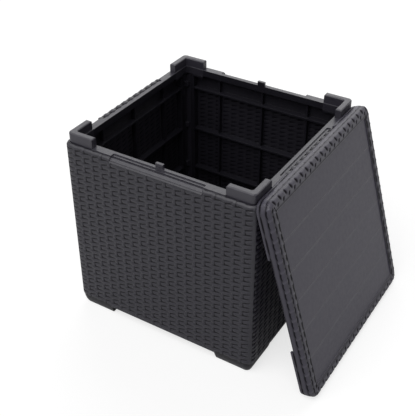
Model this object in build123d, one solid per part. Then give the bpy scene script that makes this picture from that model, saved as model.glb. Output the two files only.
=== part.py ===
from build123d import *
import os
from math import asin, cos, degrees, radians, sin

# Square storage box with a loose lid, in millimetres.
# Origin: centre of the footprint on the floor. +Z up, front of the box towards -Y.
# The lid stands on the floor and leans on the posts of the right side, towards +X.

# Box, outside
WALL_SPAN = 415.0            # outer face to outer face
SHOULDER_Z = 397.3           # top of the skin
SKIN_T = 4.8                 # thickness of the woven skin
CREST_W = 0.3                # flat left on the skin's rounded top edge
TUCK_H = 25.0                # height over which the foot of the wall curves in
TUCK_IN = 7.0                # how far it curves in
FOOT_CORNER_R = 4.2          # rounding inside the foot of a corner
FOOT_L = 80.0                # length of a foot, from the corner of the box
ARCH_H = 18.5                # height of the arch between the feet
ARCH_SLANT = 1.5             # how far each end of the arch slants in
ARCH_R = 3.0                 # rounding of the arch's top corners
FOOT_WEB_T = 3.0             # rib that closes a foot beside the arch
FOOT_WEB_IN = 17.0           # how far in it reaches, from the wall's outer face

# Corner posts
POST_GAP = 1.2               # gap between the skin and the post's outer face
POST_RISE = 20.6             # post's top above the shoulder
POST_ARM = 57.5              # length of an arm of the L
POST_T = 15.1                # thickness of an arm
POST_STEP = 2.1              # how much thinner it is above the rim, on its inner side
POST_OUTER_R = 8.5           # outer corner above the rim
POST_INNER_R = 4.0
POST_EDGE_R = 3.0            # rounding of the top edges
POST_DROP = 13.3             # underside of the L below the shoulder
POST_SHELL_T = 3.0           # walls around the hollow in an arm
BAR_STANDOFF = 6.7           # from the skin to the bar under the post
BAR_T = 4.0                  # thickness of the bar's legs
BAR_SETBACK = 28.0           # from the end of an arm to the free edge of the leg below it
CLIP_W = 9.0                 # clips on the bar, at the ledges
CLIP_T = 6.0
CLIP_H = 12.0
CLIP_BELOW = 3.0             # how far a clip starts below the ledge's top

# Rim between the posts
RIM_RISE = 2.0               # rim above the shoulder
RIM_T = 8.0                  # thickness of the rim's top plate
RIM_LIP_H = 14.0             # depth of the lip on the rim's inner edge
RIM_LIP_T = 3.0              # thickness of that lip
RIM_END_GAP = 0.3            # gap between the rim and the post beside it
RIM_PLATE_IN = 4.6           # rim's outer edge, from the wall's outer face
BOND = 1.0                   # how far a rib or plate runs into what it grows from

# Stepped slot behind the skin, in the top of each wall
SLOT_W = 200.0               # length of the slot
SLOT_STRIP_W = 7.1           # width of the rim left behind it
SLOT_STEP = 5.5              # width of the step in its back
SLOT_STEP_DROP = 2.2         # step below the rim's top
SLOT_DEPTH = 4.8             # floor of the slot below the rim's top
SLOT_END_R = 3.0             # rounding of its ends
SLOT_CREST_DIP = 1.9         # how much lower the skin is in front of it, on the walls with a tab
SLOT_CREST_FALL = 4.6        # and how much lower still on its outer side

# Ribs and ledges on the inside of a wall
RIB_PITCH = 106.5            # between upright ribs
RIB_SIDE_COUNT = 1           # upright ribs on each side of the middle one
RIB_W = 4.0
RIB_H = 9.2                  # how far a rib stands out of the skin
LEDGE_DROP = 44.8            # highest ledge below the shoulder
LEDGE_COUNT = 4              # the lowest ledge carries the base
LEDGE_T = 4.0
LEDGE_H = 14.7               # how far a ledge stands out of the skin

# Tab on the rim of the front and back walls
TAB_W = 16.0
TAB_T = 6.0
TAB_H = 9.0

# Hooks on the walls that hold the bars
SLIDE_GAP = 0.4              # clearance of a bar in its hook
HOOK_T = 3.0
HOOK_OVERLAP = 6.0           # how far the hook's lip reaches over the leg
HOOK_FOOT_GAP = 16.0         # from the base's top to the hook's lower end
SHELF_T = 4.0                # shelf that carries the post
SHELF_END_GAP = 1.0          # from the rim's end to the shelf

# Base
BASE_Z = 39.0                # underside of the base, on the lowest ledge
BASE_T = 4.0
BASE_EDGE_GAP = 0.6          # around the base's edge
BASE_TOP_GAP = 0.3           # between the base and the ribs and bars above it
BASE_RIB_W = 3.0
BASE_RIB_H = 12.0
BASE_RIB_SIDE_COUNT = 2      # stiffening ribs on each side of the middle one
BASE_RING_GAP = 0.6          # between the base's ring rib and the ledges

# Lid
LID_OVERHANG = 2.5           # beyond the wall on each side
LID_CORNER_R = 20.0
LID_INNER_R = 8.0            # inside the skirt's corners
LID_SEAT_T = 6.6             # from the top of the border to the seats on the posts
LID_LIP_GAP = 0.5            # between lips and shoulder, lid closed
LID_EDGE_R = 7.0             # rounding of the top edge
LID_SKIRT_T = 4.5
LID_PANEL_T = 4.2            # top of the border to the underside
LID_BORDER_W = 22.0          # woven border around the smooth field
LID_FIELD_DEPTH = 1.2        # field below the border
LID_FIELD_R = 3.0
LID_NOTCH_H = 6.5            # notch in each skirt, over the slot
PLANK_COUNT = 6
PLANK_GROOVE_W = 2.0
PLANK_GROOVE_DEPTH = 0.8
LID_RIB_W = 3.0
LID_RIB_H = 5.5
LID_RIB_SIDE_COUNT = 2       # ribs on each side of the middle one
LID_RIB_EDGE_GAP = 5.0       # between the rib grid and the rim, lid closed
LID_LUG_T = 3.0              # lugs that centre the lid on the posts
LID_LUG_H = 14.0
LID_LUG_GAP = 1.0

# Where the lid stands
LID_TOUCH_DROP = 14.6        # where its upper lip touches a post, below the post's top
LID_STEEPEST = 80.0          # steepest lean, degrees, on a box too tall for that
LID_LEAN_GAP = 0.8           # between the lid's upper lip and the posts
LID_SHIFT_Y = 2.4            # towards the back

# Worked out from the above, plan; "in" is measured from the wall's outer face
HALF = WALL_SPAN / 2
SHOULDER_R = SKIN_T - CREST_W
CORNER_R = TUCK_IN + SKIN_T + FOOT_CORNER_R
POST_IN = SKIN_T + POST_GAP
POST_HALF = HALF - POST_IN
RIM_IN = POST_IN + POST_T
RIM_HALF_W = POST_HALF - POST_ARM - RIM_END_GAP
SLOT_IN = RIM_IN - SLOT_STRIP_W
ARCH_FLOOR_W = WALL_SPAN - 2 * FOOT_L
ARCH_TOP_W = ARCH_FLOOR_W - 2 * ARCH_SLANT
BAR_IN = SKIN_T + BAR_STANDOFF
BAR_END = POST_HALF - POST_ARM + BAR_SETBACK
HOOK_X = BAR_END - SLIDE_GAP - HOOK_T
LID_SPAN = WALL_SPAN + 2 * LID_OVERHANG

# Worked out from the above, heights
RIM_Z = SHOULDER_Z + RIM_RISE
RIM_UNDER_Z = RIM_Z - RIM_T
POST_TOP_Z = SHOULDER_Z + POST_RISE
POST_SEAT_Z = SHOULDER_Z - POST_DROP
SLOT_STEP_Z = RIM_Z - SLOT_STEP_DROP
SLOT_FLOOR_Z = RIM_Z - SLOT_DEPTH
BASE_TOP_Z = BASE_Z + BASE_T
BAR_FOOT_Z = BASE_TOP_Z + BASE_TOP_GAP
LEDGE_TOP_Z = SHOULDER_Z - LEDGE_DROP
LEDGE_PITCH = (LEDGE_TOP_Z - BASE_Z) / (LEDGE_COUNT - 1)
LEDGE_ZS = [LEDGE_TOP_Z - i * LEDGE_PITCH for i in range(LEDGE_COUNT)]
LID_DEPTH = POST_RISE + LID_SEAT_T - LID_LIP_GAP


def block(x0, x1, y0, y1, z0, z1):
    """Box between two corners."""
    return Pos((x0 + x1) / 2, (y0 + y1) / 2, (z0 + z1) / 2) * Box(x1 - x0, y1 - y0, z1 - z0)


def slab(x0, x1, d0, d1, z0, z1):
    """Box on the front wall, with d measured in from the wall's outer face."""
    return block(x0, x1, d0 - HALF, d1 - HALF, z0, z1)


def both_sides(solid):
    """A solid and its mirror image about the middle of the wall."""
    return [solid, mirror(solid, about=Plane.YZ)]


def skin_section():
    """Upright section of the skin: tucked foot, flat face, rounded shoulder."""
    foot = (-HALF + TUCK_IN, 0)
    tuck = (-HALF, TUCK_H)
    shoulder = (-HALF, SHOULDER_Z - SHOULDER_R)
    crest = (-HALF + SHOULDER_R, SHOULDER_Z)
    top = (-HALF + SKIN_T, SHOULDER_Z)
    inner_tuck = (-HALF + SKIN_T, TUCK_H)
    inner_foot = (-HALF + TUCK_IN + SKIN_T, 0)
    outline = [
        TangentArc(tuck, foot, tangent=(0, -1)),
        Line(tuck, shoulder),
        TangentArc(shoulder, crest, tangent=(0, 1)),
        Line(crest, top),
        Line(top, inner_tuck),
        TangentArc(inner_tuck, inner_foot, tangent=(0, -1)),
        Line(inner_foot, foot),
    ]
    return Plane.YZ * make_face(outline)


def skin():
    """Skin of the front wall, turned half way round both corners to meet its neighbours."""
    section = skin_section()
    corner = HALF - CORNER_R
    straight = extrude(section, amount=corner, both=True)
    upright = Axis((corner, -corner, 0), (0, 0, 1))
    turn = revolve(Pos(corner, 0, 0) * section, upright, revolution_arc=45)
    return straight + both_sides(turn) - arch()


def arch():
    """Opening under the wall, between the feet."""
    outline = Polygon(
        (-ARCH_FLOOR_W / 2, 0),
        (ARCH_FLOOR_W / 2, 0),
        (ARCH_TOP_W / 2, ARCH_H),
        (-ARCH_TOP_W / 2, ARCH_H),
        align=None,
    )
    outline = fillet(outline.vertices().group_by(Axis.Y)[-1], ARCH_R)
    return Pos(0, -HALF, 0) * extrude(Plane.XZ * outline, amount=CORNER_R + TUCK_IN, both=True)


def rim():
    """Top strip between the posts, with a lip along its inner edge."""
    plate = slab(-RIM_HALF_W, RIM_HALF_W, RIM_PLATE_IN, RIM_IN, RIM_UNDER_Z, RIM_Z)
    lip = slab(-RIM_HALF_W, RIM_HALF_W, RIM_IN - RIM_LIP_T, RIM_IN, RIM_Z - RIM_LIP_H, RIM_Z)
    return [plate, lip]


def slot_cut(crest_dip, crest_fall):
    """Space of the slot, from the skin to its stepped back, with rounded ends, and over the skin."""
    half = SLOT_W / 2
    crest_z = SHOULDER_Z - crest_dip
    over_skin = Polygon(
        (-HALF + SKIN_T, crest_z),
        (-HALF + SKIN_T, RIM_Z),
        (-HALF - BOND, RIM_Z),
        (-HALF - BOND, crest_z - crest_fall),
        align=None,
    )
    levels = [extrude(Plane.YZ * over_skin, amount=half, both=True)]
    for reach, z in [(SLOT_IN, SLOT_STEP_Z), (SLOT_IN - SLOT_STEP, SLOT_FLOOR_Z)]:
        plan = RectangleRounded(SLOT_W, 2 * reach, SLOT_END_R)
        space = Pos(0, -HALF, z) * extrude(plan, amount=RIM_Z - z)
        levels.append(space & slab(-half, half, SKIN_T, reach, z, RIM_Z))
    return levels


def foot_web():
    """Rib that closes a foot beside the arch."""
    x0 = ARCH_FLOOR_W / 2
    return slab(x0, x0 + FOOT_WEB_T, TUCK_IN + BOND, FOOT_WEB_IN, 0, LEDGE_ZS[-1] - LEDGE_T + BOND)


def ledges():
    """Level ledges across the inside of the wall, from hook to hook."""
    return [
        slab(-HOOK_X - BOND, HOOK_X + BOND, SKIN_T - BOND, SKIN_T + LEDGE_H, z - LEDGE_T, z)
        for z in LEDGE_ZS
    ]


def ribs():
    """Upright ribs from the base to the rim."""
    steps = range(-RIB_SIDE_COUNT, RIB_SIDE_COUNT + 1)
    return [
        slab(
            i * RIB_PITCH - RIB_W / 2,
            i * RIB_PITCH + RIB_W / 2,
            SKIN_T - BOND,
            SKIN_T + RIB_H,
            BASE_TOP_Z + BASE_TOP_GAP,
            RIM_UNDER_Z + BOND,
        )
        for i in steps
    ]


def hook():
    """Hook that holds one leg of a corner bar, and the shelf under the post's arm."""
    low = BASE_TOP_Z + HOOK_FOOT_GAP
    lip_in = BAR_IN + BAR_T + SLIDE_GAP
    lip_end = BAR_END + HOOK_OVERLAP
    shelf_z = POST_SEAT_Z - SHELF_T
    stem = slab(HOOK_X, HOOK_X + HOOK_T, SKIN_T - BOND, lip_in + HOOK_T, low, POST_SEAT_Z)
    lip = slab(HOOK_X, lip_end, lip_in, lip_in + HOOK_T, low, shelf_z)
    guide = slab(BAR_END, BAR_END + HOOK_T, SKIN_T - BOND, BAR_IN - SLIDE_GAP, low, shelf_z)
    shelf_x = RIM_HALF_W + SHELF_END_GAP
    shelf = slab(shelf_x, HOOK_X + HOOK_T, SKIN_T - BOND, RIM_IN, shelf_z, POST_SEAT_Z)
    return [stem, lip, guide, shelf]


def rim_tab():
    """Small block standing on the inner edge of the rim."""
    return slab(-TAB_W / 2, TAB_W / 2, RIM_IN - TAB_T, RIM_IN, RIM_Z - BOND, RIM_Z + TAB_H)


def wall(with_tab):
    """One wall, in the front position."""
    solid = skin() + rim() + ledges() + ribs()
    for piece in [*hook(), foot_web()]:
        solid += both_sides(piece)
    if with_tab:
        return solid - slot_cut(SLOT_CREST_DIP, SLOT_CREST_FALL) + rim_tab()
    return solid - slot_cut(0, 0)


def post_plan(outer, inner, end):
    """L seen from above, in the front right corner, between its outer and inner faces."""
    return make_face(Polyline(
        (outer, -outer),
        (outer, -end),
        (inner, -end),
        (inner, -inner),
        (end, -inner),
        (end, -outer),
        close=True,
    ))


def post_level(inner, outer_r, z0, z1):
    """One level of a corner post's head, with its corners rounded in plan."""
    plan = post_plan(POST_HALF, inner, POST_HALF - POST_ARM)
    plan = fillet(plan.vertices().sort_by_distance((POST_HALF, -POST_HALF))[0], outer_r)
    plan = fillet(plan.vertices().sort_by_distance((inner, -inner))[0], POST_INNER_R)
    return Pos(0, 0, z0) * extrude(plan, amount=z1 - z0)


def post_head():
    """Top of a corner post: an L in two levels with rounded edges, hollow under its arms."""
    inner = POST_HALF - POST_T
    high = post_level(inner + POST_STEP, POST_OUTER_R, RIM_Z, POST_TOP_Z)
    high = fillet(high.faces().sort_by(Axis.Z)[-1].edges(), POST_EDGE_R)
    low = post_level(inner, CORNER_R - POST_IN, POST_SEAT_Z, RIM_Z)
    cavity = post_plan(
        POST_HALF - POST_SHELL_T,
        inner + POST_STEP + POST_SHELL_T,
        POST_HALF - POST_ARM + POST_SHELL_T,
    )
    hollow = extrude(cavity, amount=POST_TOP_Z - POST_SHELL_T)
    core = block(BAR_END, POST_HALF, -POST_HALF, -BAR_END, 0, POST_TOP_Z)
    return low + high - (hollow - core)


def bar():
    """Upright angle bar inside the corner, with clips at the height of each ledge above the base."""
    outer = HALF - BAR_IN
    inner = outer - BAR_T
    top = POST_SEAT_Z + BOND
    legs = block(BAR_END, outer, -outer, -inner, BAR_FOOT_Z, top)
    legs += block(inner, outer, -outer, -BAR_END, BAR_FOOT_Z, top)
    for z in LEDGE_ZS[:-1]:
        z0 = z - CLIP_BELOW
        legs += block(inner - CLIP_W, inner, -inner - BOND, -inner + CLIP_T, z0, z0 + CLIP_H)
        legs += block(inner - CLIP_T, inner + BOND, -inner, -inner + CLIP_W, z0, z0 + CLIP_H)
    return legs


def corner_post():
    """Corner post, in the front right position."""
    return post_head() + bar()


def base_panel():
    """Floor of the box: a plate with a ring rib inside the ledges and a grid of ribs."""
    half = HALF - SKIN_T - BASE_EDGE_GAP
    corner_r = CORNER_R - SKIN_T - BASE_EDGE_GAP
    outline = RectangleRounded(2 * half, 2 * half, corner_r)
    plate = Pos(0, 0, BASE_Z) * extrude(outline, amount=BASE_T)
    ring = HALF - SKIN_T - LEDGE_H - BASE_RING_GAP
    low = BASE_Z - BASE_RIB_H
    frame = block(-ring, ring, -ring, ring, low, BASE_Z)
    inside = ring - BASE_RIB_W
    frame -= block(-inside, inside, -inside, inside, low, BASE_Z)
    pitch = ring / (BASE_RIB_SIDE_COUNT + 1)
    for i in range(-BASE_RIB_SIDE_COUNT, BASE_RIB_SIDE_COUNT + 1):
        at = i * pitch
        frame += block(at - BASE_RIB_W / 2, at + BASE_RIB_W / 2, -inside, inside, low, BASE_Z)
        frame += block(-inside, inside, at - BASE_RIB_W / 2, at + BASE_RIB_W / 2, low, BASE_Z)
    return plate + frame


def lid_shell():
    """Top and skirt of the lid, lying flat with the top of its border at z = 0."""
    half = LID_SPAN / 2
    shell = extrude(RectangleRounded(LID_SPAN, LID_SPAN, LID_CORNER_R), amount=-LID_DEPTH)
    shell = fillet(shell.faces().sort_by(Axis.Z)[-1].edges(), LID_EDGE_R)
    inside = LID_SPAN - 2 * LID_SKIRT_T
    hollow = extrude(RectangleRounded(inside, inside, LID_INNER_R), amount=-LID_DEPTH)
    shell -= Pos(0, 0, -LID_PANEL_T) * hollow
    field = LID_SPAN - 2 * LID_BORDER_W
    shell -= extrude(RectangleRounded(field, field, LID_FIELD_R), amount=-LID_FIELD_DEPTH)
    notch_z = -LID_DEPTH + LID_NOTCH_H
    notch = SLOT_W / 2
    shell -= block(-notch, notch, -half, half, -LID_DEPTH, notch_z)
    shell -= block(-half, half, -notch, notch, -LID_DEPTH, notch_z)
    return shell


def plank_grooves():
    """Shallow V grooves that divide the smooth field into planks."""
    field = LID_SPAN - 2 * LID_BORDER_W
    pitch = field / PLANK_COUNT
    face = -LID_FIELD_DEPTH
    half_w = PLANK_GROOVE_W / 2
    section = Polygon(
        (-half_w, 0),
        (-half_w, face),
        (0, face - PLANK_GROOVE_DEPTH),
        (half_w, face),
        (half_w, 0),
        align=None,
    )
    groove = extrude(Plane.XZ * section, amount=field / 2, both=True)
    return [Pos(i * pitch - field / 2, 0, 0) * groove for i in range(1, PLANK_COUNT)]


def lid_underside():
    """Rib grid, seats over the posts and lugs that centre the lid."""
    reach = POST_HALF - POST_T - LID_RIB_EDGE_GAP
    top = -LID_PANEL_T + BOND
    rib_low = -LID_PANEL_T - LID_RIB_H
    pitch = (reach - LID_RIB_W / 2) / LID_RIB_SIDE_COUNT
    pieces = []
    for i in range(-LID_RIB_SIDE_COUNT, LID_RIB_SIDE_COUNT + 1):
        at = i * pitch
        rib = block(at - LID_RIB_W / 2, at + LID_RIB_W / 2, -reach, reach, rib_low, top)
        pieces += [rib, Rot(0, 0, 90) * rib]
    inner = POST_HALF - POST_T
    seat = block(inner, POST_HALF, inner, POST_HALF, -LID_SEAT_T, top)
    lug_x = POST_HALF - POST_ARM / 2
    lug_in = POST_HALF + LID_LUG_GAP
    lug_low = -LID_PANEL_T - LID_LUG_H
    skirt_in = LID_SPAN / 2 - LID_SKIRT_T + BOND
    lug = block(lug_x - LID_LUG_T / 2, lug_x + LID_LUG_T / 2, lug_in, skirt_in, lug_low, top)
    for turn in range(4):
        pieces += [Rot(0, 0, 90 * turn) * piece for piece in [seat, *both_sides(lug)]]
    return pieces


def lid_place():
    """Leaning place of the lid: lips on the floor below, and against the posts or the wall above."""
    touch_z = min(POST_TOP_Z - LID_TOUCH_DROP, LID_SPAN * sin(radians(LID_STEEPEST)))
    on_posts = touch_z > SHOULDER_Z + LID_SKIRT_T
    face = POST_HALF if on_posts else HALF
    lean = asin(touch_z / LID_SPAN)
    x = face + LID_LEAN_GAP + LID_SPAN / 2 * cos(lean) + LID_DEPTH * sin(lean)
    z = touch_z / 2 + LID_DEPTH * cos(lean)
    return Pos(x, LID_SHIFT_Y, z) * Rot(0, degrees(lean), 0)


def lid():
    """The lid where it leans."""
    return lid_place() * (lid_shell() - plank_grooves() + lid_underside())


def build():
    """Every piece by its node name, in place."""
    tabbed = wall(with_tab=True)
    plain = wall(with_tab=False)
    post = corner_post()
    return {
        "front_wall": tabbed,
        "right_wall": Rot(0, 0, 90) * plain,
        "back_wall": Rot(0, 0, 180) * tabbed,
        "left_wall": Rot(0, 0, 270) * plain,
        "corner_post_front_right": post,
        "corner_post_back_right": Rot(0, 0, 90) * post,
        "corner_post_back_left": Rot(0, 0, 180) * post,
        "corner_post_front_left": Rot(0, 0, 270) * post,
        "base_panel": base_panel(),
        "lid": lid(),
    }


os.makedirs("parts", exist_ok=True)
for name, solid in build().items():
    export_step(solid, "parts/" + name + ".step")
    print(name, round(solid.volume), "mm3")
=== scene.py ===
# Looks of a square storage box in woven-effect plastic, with its loose lid leaning on one side
import math
import bpy
import numpy as np
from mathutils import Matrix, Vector


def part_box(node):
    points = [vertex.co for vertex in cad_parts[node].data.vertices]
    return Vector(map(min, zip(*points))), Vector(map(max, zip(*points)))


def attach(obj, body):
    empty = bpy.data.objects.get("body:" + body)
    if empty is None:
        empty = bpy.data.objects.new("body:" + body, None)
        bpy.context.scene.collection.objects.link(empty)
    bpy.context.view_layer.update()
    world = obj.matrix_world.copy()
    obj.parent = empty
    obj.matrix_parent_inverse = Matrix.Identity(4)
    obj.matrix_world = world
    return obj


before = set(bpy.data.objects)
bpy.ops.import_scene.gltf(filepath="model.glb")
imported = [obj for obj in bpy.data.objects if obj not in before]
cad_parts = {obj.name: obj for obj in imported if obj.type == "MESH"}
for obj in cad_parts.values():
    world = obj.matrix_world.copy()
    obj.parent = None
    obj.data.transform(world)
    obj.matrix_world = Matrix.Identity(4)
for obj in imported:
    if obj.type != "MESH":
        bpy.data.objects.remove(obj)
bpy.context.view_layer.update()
MM = 0.001
HAIR = 0.01 * MM             # less than any step between sample lines

# Box, from the frame
HALF = -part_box("front_wall")[0].y
RIM_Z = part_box("left_wall")[1].z
POST_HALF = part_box("corner_post_front_right")[1].x
POST_TOP_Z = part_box("corner_post_front_right")[1].z
LID_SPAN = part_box("lid")[1].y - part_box("lid")[0].y
LID_MIDDLE_Y = (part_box("lid")[1].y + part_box("lid")[0].y) / 2

# Box, as in the part's source
CORNER_R = 16.0 * MM
SHOULDER_Z = RIM_Z - 2.0 * MM
SKIN_T = 4.8 * MM
SHOULDER_R = 4.5 * MM
TUCK_H = 25.0 * MM
TUCK_IN = 7.0 * MM
TUCK_R = (TUCK_IN ** 2 + TUCK_H ** 2) / (2 * TUCK_IN)
ARCH_H = 18.5 * MM
ARCH_HALF_W = HALF - 80.0 * MM
SLOT_HALF_W = 100.0 * MM
SLOT_REACH = SLOT_HALF_W + 0.1 * MM    # just past the slot's ends
SLOT_CREST_Z = RIM_Z - 7.7 * MM
INNER_HALF = POST_HALF - 15.1 * MM
RIB_PITCH = 106.5 * MM
RIB_HALF_W = 2.0 * MM
BAY_END = 168.5 * MM
LEDGE_T = 4.0 * MM
LEDGE_TOP_Z = SHOULDER_Z - 44.8 * MM
LEDGE_LOW_Z = 39.0 * MM
LEDGE_COUNT = 4
BASE_TOP_Z = LEDGE_LOW_Z + 4.0 * MM

# Lid, as in the part's source
LID_CORNER_R = 20.0 * MM
LID_EDGE_R = 7.0 * MM
LID_DEPTH = 26.7 * MM
LID_NOTCH_H = 6.5 * MM
LID_FIELD = LID_SPAN - 44.0 * MM
PLANK_COUNT = 6
PLANK_GROOVE_W = 2.0 * MM
LID_TOUCH_Z = POST_TOP_Z - 14.6 * MM
LID_LEAN_GAP = 0.8 * MM
LID_LEAN = math.asin(LID_TOUCH_Z / LID_SPAN)

# Moulded weave: upright strands are warps, level ones wefts; heights are shares of the relief
RELIEF = 2.0 * MM
SUNK = -0.15 * MM            # edges of a woven sheet, under the surface it lies on
WARPS_PER_SIDE = 20
WARP_HALF = 0.165            # half of a warp's width, in warp pitches
WARP_LOW = 0.2               # height of a warp under a weft
WARP_RISE = 0.75             # how much higher it is over one
WARP_ROUND = 0.7             # how far its section falls off to its edges
WEFT_PITCH = 10.4 * MM
WEFT_MIDDLE_Z = 215.9 * MM   # middle of a weft on the walls
WEFT_ROUND = 0.5             # how far its section falls off to its edges
INCLINE = 0.4                # climb of a weft from one warp to the next, in rows
LEVEL_AT = 0.4               # where on that way it is level with its row, in warp pitches
HELD = 0.88                  # how far a warp holds down a weft's lower edge
HELD_LESS = 0.3              # how much less it holds down the upper edge
RISE_END = 0.36              # where a weft is up again after a warp, in warp pitches
RISE_LEAN = 0.12             # how much sooner that is at its upper edge
CROWN = 0.15                 # how much higher a weft is on top of a warp
CROWN_FALL = 3.3             # how quickly that ends beside the warp
DUCK = 0.35                  # how far a weft falls before the next warp that holds it
DUCK_AT = 1.5                # where that starts, in warp pitches
SLIT = 0.5                   # depth of the slit between two wefts
SLIT_IN = 0.45               # where it starts on a weft's section, from its middle to its edge
SLIT_START = (0.04, 0.14)    # over what stretch it opens, in warp pitches from the last warp
SLIT_END = (0.5, 0.85)       # over what stretch it closes
WARP_LINES = (-0.5, -0.4, -0.3, -0.22, -0.175, -0.15, -0.08, 0.0, 0.08, 0.15, 0.175, 0.22, 0.3, 0.4)
WEFT_LINES = (-0.5, -0.44, -0.34, -0.16, 0.02, 0.2, 0.34, 0.44)


def smooth(x, lo, hi):
    """Smooth step from 0 at lo to 1 at hi."""
    t = np.clip((x - lo) / (hi - lo), 0.0, 1.0)
    return t * t * (3 - 2 * t)


def weave(a, b, duck=1.0):
    """Height of the weave, 0 to 1, where a counts warps and b counts weft rows.
    A weft climbs a little from warp to warp. It comes up on the right of the warp that holds it down,
    over a hollow that is longer at its lower edge, and ducks quickly under the next. A smaller duck makes
    that hollow shallower."""
    gap = np.mod(a, 1)
    climbed = b - INCLINE * (gap - LEVEL_AT)
    row = np.floor(climbed + 0.5)
    side = 2 * (climbed - row)
    edge = np.abs(side)
    run = np.mod(np.floor(a) + row, 2) + gap
    rise = smooth(run, WARP_HALF, RISE_END - RISE_LEAN * side)
    held = 1 - duck * (HELD - HELD_LESS * smooth(side, -0.5, 0.5))
    crown = 1 - CROWN + CROWN * np.exp(-(CROWN_FALL * (run - 1)) ** 2)
    fall = (1 - DUCK * smooth(run, DUCK_AT, 2 - WARP_HALF)) * crown
    slit = smooth(gap, *SLIT_START) * (1 - smooth(gap, *SLIT_END))
    dome = 1 - WEFT_ROUND * edge ** 2 - SLIT * slit * smooth(edge, SLIT_IN, 1.0)
    weft = (held + (1 - held) * rise * fall) * dome
    col = np.round(a)
    off = np.abs(a - col) / WARP_HALF
    over = 0.5 + 0.5 * np.cos(np.pi * (b + col))
    section = np.sqrt(np.clip(1 - WARP_ROUND * off ** 4, 0, 1))
    warp = np.where(off < 1, (WARP_LOW + WARP_RISE * over) * section, 0)
    return np.maximum(weft, warp)


def repeats(start, stop, pitch, origin, marks, extra=()):
    """Sample places from start to stop, at the same marks in every repeat of a pattern, and extra ones."""
    closest = 0.25 * MM
    first = math.floor((start - origin) / pitch) - 1
    last = math.ceil((stop - origin) / pitch) + 1
    every = [origin + (i + mark) * pitch for i in range(first, last + 1) for mark in marks]
    fixed = [start, *extra, stop]
    free = [x for x in every if start < x < stop and min(abs(x - f) for f in fixed) > closest]
    return np.array(sorted([*fixed, *free]))


def wrap(s, straight, radius, out):
    """Plan of a side that turns half way round both corners: place along it and outwards."""
    turn = np.clip(np.abs(s) - straight, 0, None) / radius
    along = np.sign(s) * (np.minimum(np.abs(s), straight) + (radius + out) * np.sin(turn))
    return along, straight + (radius + out) * np.cos(turn)


def turned(along, outward, up, quarter):
    """Points of the front side, turned by quarter turns to another side."""
    angle = quarter * math.pi / 2
    c, s = round(math.cos(angle)), round(math.sin(angle))
    x, y = along, -outward
    return np.stack([c * x - s * y, s * x + c * y, up], -1)


def middles(grid):
    """Value in the middle of each square of a grid."""
    return (grid[:-1, :-1] + grid[1:, 1:]) / 2


def with_corner_bands(s, height, reach, half_w, level):
    """A plain band over each corner, where a side meets the next one."""
    soft_edge = 1 * MM
    band = smooth(np.abs(s), reach - half_w - soft_edge, reach - half_w)
    return height * (1 - band) + level * band


def sheet(name, patches):
    """One piece from grids of points, each with a painted shade per point and a mask of the squares to fill.
    """
    points, shades, quads = [], [], []
    count = 0
    for grid, shade, keep in patches:
        index = count + np.arange(shade.size).reshape(shade.shape)
        corners = np.stack([index[:-1, :-1], index[:-1, 1:], index[1:, 1:], index[1:, :-1]], -1)
        quads.append(corners[keep])
        points.append(grid.reshape(-1, 3))
        shades.append(shade.ravel())
        count += shade.size
    used, faces = np.unique(np.concatenate(quads), return_inverse=True)
    mesh = bpy.data.meshes.new(name)
    mesh.from_pydata(np.concatenate(points)[used].tolist(), [], faces.reshape(-1, 4).tolist())
    values = mesh.attributes.new("shade", "FLOAT", "POINT").data
    values.foreach_set("value", np.concatenate(shades)[used])
    mesh.shade_smooth()
    piece = bpy.data.objects.new(name, mesh)
    bpy.context.scene.collection.objects.link(piece)
    return piece


# Outer face of a wall: s runs along it, t up it, equal to z on its flat part
WALL_STRAIGHT = HALF - CORNER_R
WALL_REACH = WALL_STRAIGHT + CORNER_R * math.pi / 4
WALL_WARP = 2 * WALL_REACH / WARPS_PER_SIDE
WALL_BAND_HALF = 3 * MM      # plain band over a corner
WALL_BAND_LEVEL = 0.85
TOP_ROW = 16.5               # foot of the top strand, in rows above the weft in the middle
STRAND_FOOT = WEFT_MIDDLE_Z + TOP_ROW * WEFT_PITCH
SHOULDER_FOOT = SHOULDER_Z - SHOULDER_R
STRAND_END = SHOULDER_FOOT + SHOULDER_R * math.pi / 2
STRAND_STEP = 1.1 * MM       # between sample lines on the top strand
SKIN_END = STRAND_END + SKIN_T - SHOULDER_R

# Top strand along the slot of a wall without a tab: a full roll, held down by every warp
CURL_R = 3.3 * MM            # its turn down into the slot
CURL_END = SKIN_END + CURL_R * math.pi / 2
CURL_HEIGHT = 1.4
DIP_HALF = 0.26              # half of the width of a dip, in warp pitches
DIP_DEPTH = 0.9

# Top along the slot of a wall with a tab: a plain ramp under a bead
RAMP_FOOT = STRAND_FOOT - 1.5 * MM
RAMP_END = SLOT_CREST_Z - 1.0 * MM
RAMP_EDGE = RAMP_END - 2.5 * MM
RAMP_HEIGHT = 0.85
BEAD_HEIGHT = 1.6

# Top strand beside the slot
FLATTENING = 0.85
FLATTENED = (SHOULDER_FOOT - 2 * MM, SHOULDER_FOOT + 3.5 * MM)

# Foot of a wall: plain feet darkened by painted shade, and a plain strip over the arch
STRIP_HEIGHT = 0.7
STRIP_ROUND = 2.5 * MM
FOOT_HEIGHT = 0.6
FOOT_ROUND_END = TUCK_H + 2 * MM
# painted shade on the plain feet near the floor, as a share taken off their colour
FOOT_PAINTED_SHADE = 0.9
ARCH_END_BLEND = 6 * MM      # on both sides of the arch's end
PLAIN_FADE = (ARCH_H + 4.0 * MM, ARCH_H + 10.0 * MM)
SHEET_FOOT = ARCH_H + 0.2 * MM


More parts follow.
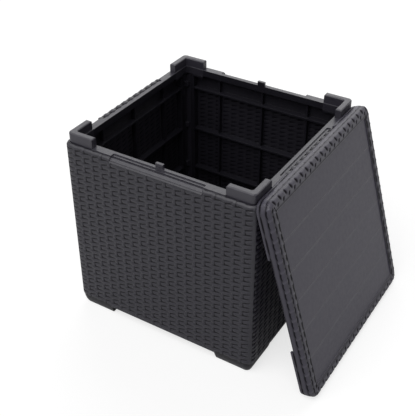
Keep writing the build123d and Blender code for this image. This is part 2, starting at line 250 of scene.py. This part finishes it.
def wall_section(t):
    """Outset, height and normal of the skin's outer face."""
    low = np.clip(TUCK_H - t, 0, None) / TUCK_R
    high = np.clip((t - SHOULDER_FOOT) / SHOULDER_R, 0, math.pi / 2)
    flat = np.clip(t - STRAND_END, 0, SKIN_END - STRAND_END)
    curl = np.clip(t - SKIN_END, 0, None) / CURL_R
    out = -TUCK_R * (1 - np.cos(low)) - SHOULDER_R * (1 - np.cos(high)) - flat - CURL_R * np.sin(curl)
    z = np.clip(t, TUCK_H, SHOULDER_FOOT) - TUCK_R * np.sin(low) + SHOULDER_R * np.sin(high)
    z -= CURL_R * (1 - np.cos(curl))
    return out, z, np.cos(low) * np.cos(high) - np.sin(curl), np.sin(high) * np.cos(curl) - np.sin(low)


def rolled(t, end):
    """Rounded section of the top strand, from its foot to its end."""
    place = np.clip((t - STRAND_FOOT) / (end - STRAND_FOOT), 0, 1)
    return np.where(t < STRAND_FOOT, 1, np.sqrt(np.clip(1 - (2 * place - 1) ** 6, 0, 1)))


def with_bound_crest(s, t, woven):
    """Top strand of a wall without a tab: held down by every warp along the slot."""
    dips = np.exp(-((np.mod(s / WALL_WARP, 1) - 0.5) / DIP_HALF) ** 2)
    share = smooth(t, SHOULDER_FOOT, STRAND_END) * (np.abs(s) < SLOT_HALF_W)
    return woven * (1 - share) + (1 - DIP_DEPTH * dips) * share


def top_relief(s, t, woven, tabbed):
    """Height at the top of a wall: full strand or plain ramp at the slot, flattened strand beside it."""
    beside = woven * rolled(t, STRAND_END) * (1 - FLATTENING * smooth(t, *FLATTENED))
    bead = BEAD_HEIGHT * np.clip((RAMP_END - t) / (RAMP_END - RAMP_EDGE), 0, 1)
    lip = smooth(t, RAMP_FOOT, RAMP_EDGE)
    ramp = np.where(t < RAMP_FOOT, woven, RAMP_HEIGHT * (1 - lip) + bead * lip)
    at_slot = ramp if tabbed else CURL_HEIGHT * woven * rolled(t, CURL_END)
    return np.where(np.abs(s) < SLOT_REACH, at_slot, beside)


def foot_plain(s, t):
    """How plain the foot of a wall is, how high and how much painted shade darkens it: plain feet with
    painted shade and a strip over the arch.
    """
    over_arch = 1 - smooth(np.abs(s), ARCH_HALF_W - ARCH_END_BLEND, ARCH_HALF_W + ARCH_END_BLEND)
    strip = STRIP_HEIGHT * smooth(t, ARCH_H, ARCH_H + STRIP_ROUND)
    foot = FOOT_HEIGHT * smooth(t, ARCH_H, FOOT_ROUND_END)
    plain = 1 - smooth(t, *PLAIN_FADE)
    return plain, strip * over_arch + foot * (1 - over_arch), FOOT_PAINTED_SHADE * plain * (1 - over_arch)


def wall_lines():
    """Sample lines along and up a wall's outer face."""
    step = 0.3 * MM
    slot_ends = [x for e in (-SLOT_HALF_W, SLOT_HALF_W) for x in (e, e + math.copysign(step, e))]
    s_lines = repeats(-WALL_REACH, WALL_REACH, WALL_WARP, 0.0, WARP_LINES, slot_ends)
    body = repeats(SHEET_FOOT, STRAND_FOOT, WEFT_PITCH, WEFT_MIDDLE_Z, WEFT_LINES)
    marks = [RAMP_EDGE, RAMP_END, STRAND_END, SKIN_END]
    strand = repeats(STRAND_FOOT, CURL_END, STRAND_STEP, STRAND_END, [0.0], marks)
    return s_lines, np.unique(np.concatenate([body, [RAMP_FOOT], strand]))


def woven_wall(side, quarter, tabbed):
    """Woven face of one wall, from corner to corner."""
    s_lines, t_lines = wall_lines()
    s, t = np.meshgrid(s_lines, t_lines)
    under_one_row = 0.99
    rows = np.minimum((t - WEFT_MIDDLE_Z) / WEFT_PITCH, TOP_ROW)
    rows += np.clip((t - STRAND_FOOT) / (STRAND_END - STRAND_FOOT), 0, under_one_row)
    woven = weave(s / WALL_WARP, rows + 1)
    woven = with_corner_bands(s, woven, WALL_REACH, WALL_BAND_HALF, WALL_BAND_LEVEL)
    if not tabbed:
        woven = with_bound_crest(s, t, woven)
    plain, plain_height, foot_painted_shade = foot_plain(s, t)
    lift = RELIEF * (plain * plain_height + (1 - plain) * top_relief(s, t, woven, tabbed))
    at_ramp = tabbed * (np.abs(s) < SLOT_REACH) * (t > RAMP_FOOT - HAIR)
    # Painted shade: darker in the weave's hollows, by their depth, and on the plain feet
    shade = (1 - (1 - woven) * (1 - np.maximum(plain, at_ramp))) * (1 - foot_painted_shade)
    slot_end = RAMP_END if tabbed else CURL_END
    end = np.where(np.abs(s) < SLOT_REACH, slot_end, SKIN_END)
    lift[(t > end - HAIR) | (t < t_lines[0] + HAIR)] = SUNK
    keep = middles(t) < np.where(np.abs(middles(s)) < SLOT_HALF_W, slot_end, SKIN_END)
    out, z, normal_out, normal_z = wall_section(t)
    along, outward = wrap(s, WALL_STRAIGHT, CORNER_R, out + lift * normal_out)
    return sheet(side + "_weave", [(turned(along, outward, z + lift * normal_z, quarter), shade, keep)])


# Inside of a wall: the back of the weave in the bays between ribs and ledges
INNER_RELIEF = 0.7 * MM
INNER_DUCK = 0.45
BAY_SIDE_GAP = 0.4 * MM      # from a rib
BAY_END_GAP = 0.5 * MM       # from a ledge
BAY_FLOOR_GAP = 1.5 * MM     # from the base


def inner_bay(s0, s1, z0, z1, quarter):
    """Faint back of the weave in one bay inside a wall."""
    s_lines = repeats(s0, s1, WALL_WARP, 0.0, WARP_LINES[::2])[::-1]
    z_lines = repeats(z0, z1, WEFT_PITCH, WEFT_MIDDLE_Z, WEFT_LINES[::2])
    s, z = np.meshgrid(s_lines, z_lines)
    height = weave(-s / WALL_WARP, (z - WEFT_MIDDLE_Z) / WEFT_PITCH, INNER_DUCK)
    lift = INNER_RELIEF * height
    lift[0] = lift[-1] = SUNK
    lift[:, 0] = lift[:, -1] = SUNK
    keep = np.ones((len(z_lines) - 1, len(s_lines) - 1), bool)
    # The weave's height is also its painted shade, darker in the hollows
    return turned(s, HALF - SKIN_T - lift, z, quarter), height, keep


def inner_weave(side, quarter):
    """Back of the weave in the bays between the ribs and ledges of a wall; those under the rim are plain."""
    uprights = [-BAY_END - RIB_HALF_W, -RIB_PITCH, 0.0, RIB_PITCH, BAY_END + RIB_HALF_W]
    ledges = np.linspace(LEDGE_TOP_Z, LEDGE_LOW_Z, LEDGE_COUNT)
    floors = [*ledges[1:-1], BASE_TOP_Z + BAY_FLOOR_GAP]
    ceilings = ledges[:-1] - LEDGE_T
    side_gap = RIB_HALF_W + BAY_SIDE_GAP
    return sheet(side + "_inner_weave", [
        inner_bay(s0 + side_gap, s1 - side_gap, z0 + BAY_END_GAP, z1 - BAY_END_GAP, quarter)
        for s0, s1 in zip(uprights[:-1], uprights[1:])
        for z0, z1 in zip(floors, ceilings)
    ])


# Lid's border: s runs along a side, t from the woven part's inner edge over the rounded edge to the lip
LID_SLOPE = np.array((-math.cos(LID_LEAN), 0, math.sin(LID_LEAN)))
LID_NORMAL = np.array((math.sin(LID_LEAN), 0, math.cos(LID_LEAN)))
LID_ORIGIN = np.array((
    POST_HALF + LID_LEAN_GAP + LID_SPAN / 2 * math.cos(LID_LEAN) + LID_DEPTH * math.sin(LID_LEAN),
    LID_MIDDLE_Y,
    LID_TOUCH_Z / 2 + LID_DEPTH * math.cos(LID_LEAN),
))
LID_STRAIGHT = LID_SPAN / 2 - LID_CORNER_R
LID_REACH = LID_STRAIGHT + LID_CORNER_R * math.pi / 4
LID_WARP = 2 * LID_REACH / WARPS_PER_SIDE
LID_WEAVE_IN = 21.8 * MM
LID_FLAT = LID_WEAVE_IN - LID_EDGE_R
LID_ARC_END = LID_FLAT + LID_EDGE_R * math.pi / 2
LID_LIP = LID_ARC_END + LID_DEPTH - LID_EDGE_R
LID_NOTCH = LID_LIP - LID_NOTCH_H
LID_STEP_ALONG = 1.2 * MM    # between sample lines
LID_STEP_ACROSS = 0.8 * LID_STEP_ALONG

# Strands of the lid's border, side by side along it, and shorter ones across them
LID_RELIEF = 1.7 * MM
LID_LINE = 2.8 * MM          # innermost line between strands, from the woven part's inner edge
LID_ROW = 12.0 * MM
LID_LINES = [LID_LINE + i * LID_ROW for i in range(4)]
LID_BAND_HALF = 1 * MM       # plain band over a corner
LID_BAND_LEVEL = 0.6
STRAND_FALL = 0.55           # how far a strand's section falls off to its edges
STRAND_POWER = 2.5           # how square that section is
LONG_SIDE_LEVEL = 0.8        # height of the strands along the planks
STRAND_SHADE = 0.72          # painted shade of the strands under those across them
BINDING_HALF = 2.6 * MM      # half of the width of a strand across the others
BINDING_SLANT = 0.5
BINDING_FADE = (0.28 * LID_ROW, 0.48 * LID_ROW)
BINDING_HEIGHT = 1.15
LIP_FADE = 7.5 * MM          # over what height the relief ends above the lip
NOTCH_FADE = 2.0 * MM
FADE_PAST = -0.5 * MM        # where it would end, past the edge

# Hollows beside the strands, darker from their depth and from painted shade: half of the length and width,
# and how far the ends bend outwards
HOLLOW_DEPTH = 0.9
HOLLOW_EDGE = 1.15           # where a hollow ends, 1 on its own outline
LID_PHASE = 0.35             # place of the middle of a long hollow, in its repeats
SMILE_HALF = 18.5 * MM       # long hollow beside a strand
SMILE_HALF_W = 5.0 * MM
SMILE_BEND = 3.0 * MM
SKIRT_HALF_W = 2.2 * MM      # the same on the skirt
DASH_HALF = 8.0 * MM         # short hollows between two strands
DASH_HALF_W = (2.0 * MM, 1.8 * MM)
DASH_BEND = 2.0 * MM
TWIST_AT = (9.3 * MM, 16.3 * MM)   # two rows of slanted hollows on the ends of the planks
TWIST_HALF = (3.08 * MM, 3.36 * MM)
TWIST_HALF_W = (4.48 * MM, 5.6 * MM)
TWIST_SLANT = 0.35


def lid_section(t):
    """Outset, height and normal of the lid's border."""
    turn = np.clip((t - LID_FLAT) / LID_EDGE_R, 0, math.pi / 2)
    down = np.clip(t - LID_ARC_END, 0, None)
    out = np.minimum(t, LID_FLAT) - LID_WEAVE_IN + LID_EDGE_R * np.sin(turn)
    n = -LID_EDGE_R * (1 - np.cos(turn)) - down
    return out, n, np.sin(turn), np.cos(turn)


def hollows(s, t, line, period, phase, half_long, half_wide, slant=0.0, bend=0.0):
    """Row of hollows along a line of the lid's border, darkened by painted shade: 1 in a hollow, 0 outside.
    """
    along = (np.mod(s / period - phase + 0.5, 1) - 0.5) * period
    across = t - line - bend * (along / half_long) ** 2
    far = ((along - slant * across) / half_long) ** 4 + (across / half_wide) ** 2
    return 1 - smooth(far, 0.0, HOLLOW_EDGE)


def long_side_hollows(s, t):
    """Hollows along the planks, on the border and the skirt."""
    inner, first, second, skirt = LID_LINES
    first_w, second_w = DASH_HALF_W
    phase = LID_PHASE
    return np.maximum.reduce([
        hollows(s, t, inner, 2 * LID_WARP, phase, SMILE_HALF, SMILE_HALF_W, bend=SMILE_BEND),
        hollows(s, t, first, LID_WARP, 2 * phase + 0.5, DASH_HALF, first_w, bend=DASH_BEND),
        hollows(s, t, second, LID_WARP, 2 * phase, DASH_HALF, second_w, bend=-DASH_BEND),
        hollows(s, t, skirt, 2 * LID_WARP, phase + 0.5, SMILE_HALF, SKIRT_HALF_W),
    ])


def end_side_hollows(s, t):
    """Hollows of a twisted strand on the border at the ends of the planks, over the same skirt."""
    inner, outer = TWIST_AT
    inner_half, outer_half = TWIST_HALF
    inner_w, outer_w = TWIST_HALF_W
    skirt = np.where(t > outer + 2 * outer_w, long_side_hollows(s, t), 0)
    return np.maximum.reduce([
        skirt,
        hollows(s, t, outer, LID_WARP, LID_PHASE, outer_half, outer_w, TWIST_SLANT),
        hollows(s, t, inner, LID_WARP, LID_PHASE + 0.5, inner_half, inner_w, -TWIST_SLANT),
    ])


def strand_section(rows):
    """Rounded section of strands that lie side by side, one to a row."""
    return 1 - STRAND_FALL * (2 * np.abs(np.mod(rows, 1) - 0.5)) ** STRAND_POWER


def bindings(s, t):
    """Slanted strands that hold the two inner strands down, between the hollows beside them."""
    rows = (
        (LID_LINE + 0.5 * LID_ROW, 2 * LID_PHASE + 0.5, BINDING_SLANT),
        (LID_LINE + 1.5 * LID_ROW, 2 * LID_PHASE, -BINDING_SLANT),
    )
    ridges = []
    for middle, phase, slant in rows:
        across = t - middle
        along = (np.mod(s / LID_WARP - phase, 1) - 0.5) * LID_WARP
        ridge = np.exp(-((along + slant * across) / BINDING_HALF) ** 2)
        ridges.append(ridge * (1 - smooth(np.abs(across), *BINDING_FADE)))
    return np.maximum(*ridges)


def lid_strands(s, t, end_side):
    """Height and painted shade of the strands on one side of the lid."""
    rows = (t - LID_LINE) / LID_ROW
    if end_side:
        rows = np.where(rows < 2, rows / 2, rows)
        height = strand_section(rows) * (1 - HOLLOW_DEPTH * end_side_hollows(s, t))
        bound = np.zeros_like(height)
    else:
        height = LONG_SIDE_LEVEL * strand_section(rows) * (1 - HOLLOW_DEPTH * long_side_hollows(s, t))
        bound = bindings(s, t)
    # Painted shade and highlight: strands under the bindings darker, the bindings at the full light tone
    shade = np.maximum(STRAND_SHADE * height, bound)
    height = np.maximum(height, BINDING_HEIGHT * bound)
    return with_corner_bands(s, height, LID_REACH, LID_BAND_HALF, LID_BAND_LEVEL), shade


def lid_side(quarter):
    """Woven border and skirt on one side of the lid; the planks end at the first and third."""
    slot_ends = [-SLOT_HALF_W, SLOT_HALF_W]
    s_lines = repeats(-LID_REACH, LID_REACH, LID_STEP_ALONG, 0.0, [0.0], slot_ends)
    t_lines = repeats(0.0, LID_LIP, LID_STEP_ACROSS, 0.0, [0.0], [LID_NOTCH])
    s, t = np.meshgrid(s_lines, t_lines[::-1])
    height, shade = lid_strands(s, t, quarter % 2 == 0)
    in_notch = np.abs(s) < SLOT_REACH
    end = np.where(in_notch, LID_NOTCH, LID_LIP)
    lift = LID_RELIEF * height * smooth(end - t, FADE_PAST, np.where(in_notch, NOTCH_FADE, LIP_FADE))
    lift[(t > end - HAIR) | (t < HAIR)] = SUNK
    out, n, normal_out, normal_n = lid_section(t)
    along, outward = wrap(s, LID_STRAIGHT, LID_CORNER_R, out + lift * normal_out)
    u, v, n = np.moveaxis(turned(along, outward, n + lift * normal_n, quarter), -1, 0)
    points = LID_ORIGIN + v[..., None] * LID_SLOPE + n[..., None] * LID_NORMAL
    points[..., 1] += u
    keep = (np.abs(middles(s)) > SLOT_HALF_W) | (middles(t) < LID_NOTCH)
    return points, shade, keep


# Plastic: sizes of its noise, as features per metre, and its fine grain
PLAIN_CLOUDS = 45.0
PLAIN_GLOSS_CLOUDS = 130.0
PLAIN_GRAIN = 1100.0
PLAIN_GRAIN_STRENGTH = 0.25
WOVEN_CLOUDS = 70.0
WOVEN_GLOSS_CLOUDS = 160.0
WOVEN_GRAIN = 1300.0
WOVEN_GRAIN_STRENGTH = 0.3
GRAIN_DETAIL = 2.0
GRAIN_DEPTH = 0.1 * MM
NOISE_LOW = 0.3              # most of a noise lies between these
NOISE_HIGH = 0.7
BEVEL_SAMPLES = 6
SHEEN = 0.5                  # specular level of bare plastic
BLACK = (0, 0, 0)

# Painted shade and highlight by place
HOLLOW_SHADE = (0.1, 0.75)   # from a hollow's painted shade to a strand
PLANK_LINE = (1.4 * PLANK_GROOVE_W, 0.2 * PLANK_GROOVE_W)     # from a painted highlight line's edge to its middle
BELOW_RIM = (RIM_Z - 14 * MM, RIM_Z - 8 * MM)                 # from the faces with painted shade up to the rim
INSIDE_RIM = (INNER_HALF + 0.2 * MM, INNER_HALF + 1.2 * MM)   # from the faces with painted shade out to the rim

# Sockets of a node that mixes colours
MIX_SHARE, MIX_FIRST, MIX_SECOND = 0, 6, 7
MIX_RESULT = 2


def new_material(name):
    """Node material with only its shader and output; returns it, its nodes and its shader."""
    material = bpy.data.materials.new(name)
    material.use_nodes = True
    tree = material.node_tree
    return material, tree, tree.nodes["Principled BSDF"]


def add(tree, kind, **values):
    """Adds a node, with properties by name and inputs by their label."""
    node = tree.nodes.new(kind)
    for key, value in values.items():
        if key in node.inputs:
            node.inputs[key].default_value = value
        else:
            setattr(node, key, value)
    return node


def calc(tree, operation, *values):
    """Result of an operation on sockets and numbers."""
    node = add(tree, "ShaderNodeMath", operation=operation)
    for socket, value in zip(node.inputs, values):
        if isinstance(value, float):
            socket.default_value = value
        else:
            tree.links.new(value, socket)
    return node.outputs[0]


def mapped(tree, value, span, to_lo=0.0, to_hi=1.0, kind="SMOOTHSTEP"):
    """Value mapped from a span to a range."""
    node = add(tree, "ShaderNodeMapRange", interpolation_type=kind)
    limits = {"From Min": span[0], "From Max": span[1], "To Min": to_lo, "To Max": to_hi}
    for label, limit in limits.items():
        node.inputs[label].default_value = limit
    tree.links.new(value, node.inputs["Value"])
    return node.outputs["Result"]


def mixed(tree, share, first, second):
    """Mix of two colours, each a colour or a socket."""
    node = add(tree, "ShaderNodeMix", data_type="RGBA")
    tree.links.new(share, node.inputs[MIX_SHARE])
    for index, colour in ((MIX_FIRST, first), (MIX_SECOND, second)):
        if isinstance(colour, tuple):
            node.inputs[index].default_value = (*colour, 1)
        else:
            tree.links.new(colour, node.inputs[index])
    return node.outputs[MIX_RESULT]


def noise(tree, scale, detail=3.0):
    """Noise in the object's own coordinates, features of about 1 / scale metres."""
    coords = add(tree, "ShaderNodeTexCoord")
    texture = add(tree, "ShaderNodeTexNoise", Scale=scale, Detail=detail)
    tree.links.new(coords.outputs["Object"], texture.inputs["Vector"])
    return texture.outputs["Fac"]


def tone(tree, factor, dark, light):
    """Colour between two tones, by a noise."""
    ramp = add(tree, "ShaderNodeValToRGB")
    stops = ((NOISE_LOW, dark), (NOISE_HIGH, light))
    for element, (position, colour) in zip(ramp.color_ramp.elements, stops):
        element.position = position
        element.color = (*colour, 1)
    tree.links.new(factor, ramp.inputs["Fac"])
    return ramp.outputs["Color"]


def roughness(tree, shader, clouds, rough):
    """Roughness that varies within a range."""
    value = mapped(tree, noise(tree, clouds), (NOISE_LOW, NOISE_HIGH), *rough, kind="LINEAR")
    tree.links.new(value, shader.inputs["Roughness"])


def grain(tree, shader, scale, strength, edge=0.0):
    """Fine moulded grain as bump, over edges softened by a bevel."""
    bump = add(tree, "ShaderNodeBump", Distance=GRAIN_DEPTH, Strength=strength)
    tree.links.new(noise(tree, scale, GRAIN_DETAIL), bump.inputs["Height"])
    if edge:
        bevel = add(tree, "ShaderNodeBevel", Radius=edge, samples=BEVEL_SAMPLES)
        tree.links.new(bevel.outputs["Normal"], bump.inputs["Normal"])
    tree.links.new(bump.outputs["Normal"], shader.inputs["Normal"])


def plastic(name, dark, light, rough, edge):
    """Plain moulded plastic: cloudy tone, fine grain, softened edges."""
    material, tree, shader = new_material(name)
    tree.links.new(tone(tree, noise(tree, PLAIN_CLOUDS), dark, light), shader.inputs["Base Color"])
    roughness(tree, shader, PLAIN_GLOSS_CLOUDS, rough)
    grain(tree, shader, PLAIN_GRAIN, PLAIN_GRAIN_STRENGTH, edge)
    return material


def strand_plastic(name, hollow, dark, light, rough, sheen):
    """Moulded strands: painted shade in the hollows between them, as a darker colour and a lower specular
    level, and cloudy tone and fine grain on the strands.
    """
    material, tree, shader = new_material(name)
    depth = add(tree, "ShaderNodeAttribute", attribute_name="shade")
    strands = tone(tree, noise(tree, WOVEN_CLOUDS), dark, light)
    # Painted shade: where the shade attribute is low, the colour goes to the hollow colour and the specular
    # level drops
    open_air = mapped(tree, depth.outputs["Fac"], HOLLOW_SHADE)
    tree.links.new(mixed(tree, open_air, hollow, strands), shader.inputs["Base Color"])
    level = mapped(tree, open_air, (0.0, 1.0), *sheen, kind="LINEAR")
    tree.links.new(level, shader.inputs["Specular IOR Level"])
    roughness(tree, shader, WOVEN_GLOSS_CLOUDS, rough)
    grain(tree, shader, WOVEN_GRAIN, WOVEN_GRAIN_STRENGTH)
    return material


def base_colour(material):
    """A material's nodes and shader, and what its base colour comes from."""
    tree = material.node_tree
    shader = tree.nodes["Principled BSDF"]
    return tree, shader, shader.inputs["Base Color"].links[0].from_socket


def painted_plank_highlights(material, light):
    """Painted highlight: paler colour along the grooves between the lid's planks."""
    tree, shader, base = base_colour(material)
    coords = add(tree, "ShaderNodeTexCoord")
    up_slope = add(tree, "ShaderNodeVectorMath", operation="DOT_PRODUCT")
    up_slope.inputs[1].default_value = LID_SLOPE
    tree.links.new(coords.outputs["Object"], up_slope.inputs[0])
    from_edge = calc(tree, "SUBTRACT", up_slope.outputs["Value"], LID_ORIGIN @ LID_SLOPE - LID_FIELD / 2)
    from_line = calc(tree, "PINGPONG", from_edge, LID_FIELD / PLANK_COUNT / 2)
    lines = mapped(tree, from_line, PLANK_LINE)
    tree.links.new(mixed(tree, lines, base, light), shader.inputs["Base Color"])


def painted_inner_shade(material, share):
    """Painted shade below the rim and inside its inner edge, where the moulding's inside faces are: darker
    colour and less reflection.
    """
    tree, shader, base = base_colour(material)
    coords = add(tree, "ShaderNodeTexCoord")
    place = add(tree, "ShaderNodeVectorMath", operation="ABSOLUTE")
    tree.links.new(coords.outputs["Object"], place.inputs[0])
    parts = add(tree, "ShaderNodeSeparateXYZ")
    tree.links.new(place.outputs["Vector"], parts.inputs[0])
    reach = calc(tree, "MAXIMUM", parts.outputs["X"], parts.outputs["Y"])
    high = mapped(tree, parts.outputs["Z"], BELOW_RIM, share)
    outside = mapped(tree, reach, INSIDE_RIM, share)
    level = calc(tree, "MINIMUM", high, outside)
    tree.links.new(mixed(tree, level, BLACK, base), shader.inputs["Base Color"])
    tree.links.new(calc(tree, "MULTIPLY", level, SHEEN), shader.inputs["Specular IOR Level"])


# Studio
WORLD_FILL = 0.25
FLOOR_HALF = 12.0
FLOOR_TONE = 0.8             # as a surface that lights the object
FLOOR_SEEN_TONE = 0.36       # as the camera sees it, on top of its glow
FLOOR_GLOW = 0.7
FLOOR_MIRRORED_GLOW = 0.02
WHITE = (1, 1, 1, 1)

# Camera, at the photograph's angle
LENS = 70.07                 # millimetres, on a sensor 36 wide
SENSOR_W = 36.0
AZIMUTH = math.radians(31.644)
ELEVATION = math.radians(35.371)
DISTANCE = 1.6963
AIM = (-0.0116, -0.00715, 0.19664)


def ray_level(tree, levels):
    """Level by the kind of ray that looks: the sum of each kind's level."""
    path = add(tree, "ShaderNodeLightPath")
    total = 0.0
    for kind, level in levels.items():
        total = calc(tree, "MULTIPLY_ADD", path.outputs[kind], level, total)
    return total


def studio_world():
    """White surroundings, dimmer as a light than as a background."""
    world = bpy.data.worlds.new("studio")
    bpy.context.scene.world = world
    world.use_nodes = True
    tree = world.node_tree
    background = tree.nodes["Background"]
    background.inputs["Color"].default_value = WHITE
    level = ray_level(tree, {
        "Is Camera Ray": 1.0,
        "Is Glossy Ray": 1.0,
        "Is Transmission Ray": 1.0,
        "Is Diffuse Ray": WORLD_FILL,
    })
    tree.links.new(level, background.inputs["Strength"])


def studio_floor():
    """Pale floor that shows white where no shadow falls."""
    mesh = bpy.data.meshes.new("floor")
    ends = (-FLOOR_HALF, FLOOR_HALF)
    mesh.from_pydata([(x, y, 0) for x in ends for y in ends], [], [(0, 2, 3, 1)])
    floor = bpy.data.objects.new("floor", mesh)
    bpy.context.scene.collection.objects.link(floor)
    material, tree, shader = new_material("floor_white")
    shader.inputs["Roughness"].default_value = 1.0
    shader.inputs["Specular IOR Level"].default_value = 0.0
    shader.inputs["Emission Color"].default_value = WHITE
    seen = add(tree, "ShaderNodeLightPath").outputs["Is Camera Ray"]
    tones = [(level, level, level) for level in (FLOOR_TONE, FLOOR_SEEN_TONE)]
    tree.links.new(tone(tree, seen, *tones), shader.inputs["Base Color"])
    glow = ray_level(tree, {
        "Is Camera Ray": FLOOR_GLOW,
        "Is Glossy Ray": FLOOR_MIRRORED_GLOW,
        "Is Transmission Ray": FLOOR_MIRRORED_GLOW,
    })
    tree.links.new(glow, shader.inputs["Emission Strength"])
    mesh.materials.append(material)


def sun(name, direction, energy, angle):
    """Broad soft light from a direction."""
    data = bpy.data.lights.new(name, "SUN")
    data.energy = energy
    data.angle = math.radians(angle)
    lamp = bpy.data.objects.new(name, data)
    bpy.context.scene.collection.objects.link(lamp)
    lamp.rotation_euler = Vector(direction).to_track_quat("Z", "Y").to_euler()


def camera():
    """Camera at the photograph's angle."""
    data = bpy.data.cameras.new("camera")
    data.lens = LENS
    data.sensor_width = SENSOR_W
    view = bpy.data.objects.new("camera", data)
    bpy.context.scene.collection.objects.link(view)
    back = Vector((
        math.sin(AZIMUTH) * math.cos(ELEVATION),
        -math.cos(AZIMUTH) * math.cos(ELEVATION),
        math.sin(ELEVATION),
    ))
    view.location = Vector(AIM) + back * DISTANCE
    view.rotation_euler = back.to_track_quat("Z", "Y").to_euler()
    bpy.context.scene.camera = view


def dress(piece, material, body):
    """Material and body of a new piece."""
    piece.data.materials.append(material)
    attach(piece, body)


def finish_node(name, material):
    """Material of a CAD node that stays in view."""
    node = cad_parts[name]
    node.data.materials.clear()
    node.data.materials.append(material)


WALLS = ("front", "right", "back", "left")
TABBED = ("front", "back")
POSTS = ("front_right", "back_right", "back_left", "front_left")

smooth_plastic = plastic(
    "smooth_plastic",
    dark=(0.0230, 0.0213, 0.0300),
    light=(0.0260, 0.0242, 0.0335),
    rough=(0.36, 0.46),
    edge=0.7 * MM,
)
# Lighter copy of the smooth plastic: painted light on the posts
post_plastic = plastic(
    "post_plastic",
    dark=(0.0260, 0.0240, 0.0330),
    light=(0.0290, 0.0270, 0.0365),
    rough=(0.36, 0.46),
    edge=0.7 * MM,
)
lid_plastic = plastic(
    "lid_plastic",
    dark=(0.0222, 0.0190, 0.0335),
    light=(0.0238, 0.0205, 0.0355),
    rough=(0.42, 0.5),
    edge=0.5 * MM,
)
# The hollow colours below are painted shade in the weave's hollows
woven_plastic = strand_plastic(
    "woven_plastic",
    hollow=(0.004, 0.0036, 0.0055),
    dark=(0.0105, 0.0094, 0.0160),
    light=(0.0130, 0.0117, 0.0190),
    rough=(0.38, 0.48),
    sheen=(0.15, SHEEN),
)
# Lighter copy of the woven plastic: painted light on the lid's border
lid_woven_painted_light = strand_plastic(
    "lid_woven_plastic_painted_light",
    hollow=(0.0045, 0.0040, 0.0062),
    dark=(0.0350, 0.0320, 0.0480),
    light=(0.0400, 0.0365, 0.0530),
    rough=(0.38, 0.48),
    sheen=(0.08, SHEEN),
)
# Lower specular level than the outer weave: painted shade inside the box
inner_woven_painted_shade = strand_plastic(
    "inner_woven_plastic_painted_shade",
    hollow=(0.004, 0.0037, 0.0055),
    dark=(0.0110, 0.0100, 0.0145),
    light=(0.0130, 0.0118, 0.0165),
    rough=(0.42, 0.52),
    sheen=(0.1, 0.35),
)
# Painted shade inside the box and below the rim
painted_inner_shade(smooth_plastic, share=0.45)
painted_inner_shade(post_plastic, share=0.7)
# Painted highlight along the plank grooves
painted_plank_highlights(lid_plastic, light=(0.066, 0.062, 0.076))

for quarter, side in enumerate(WALLS):
    finish_node(side + "_wall", smooth_plastic)
    dress(woven_wall(side, quarter, side in TABBED), woven_plastic, "box")
    dress(inner_weave(side, quarter), inner_woven_painted_shade, "box")
for corner in POSTS:
    finish_node("corner_post_" + corner, post_plastic)
finish_node("base_panel", smooth_plastic)
finish_node("lid", lid_plastic)
lid_weave = sheet("lid_weave", [lid_side(quarter) for quarter in range(4)])
dress(lid_weave, lid_woven_painted_light, "lid")

studio_world()
studio_floor()
sun("key", direction=(-0.15, -0.7, 1.0), energy=2.0, angle=60.0)
sun("back", direction=(-0.2, 0.75, 0.65), energy=1.1, angle=60.0)
camera()
bpy.context.scene.view_settings.view_transform = "Standard"
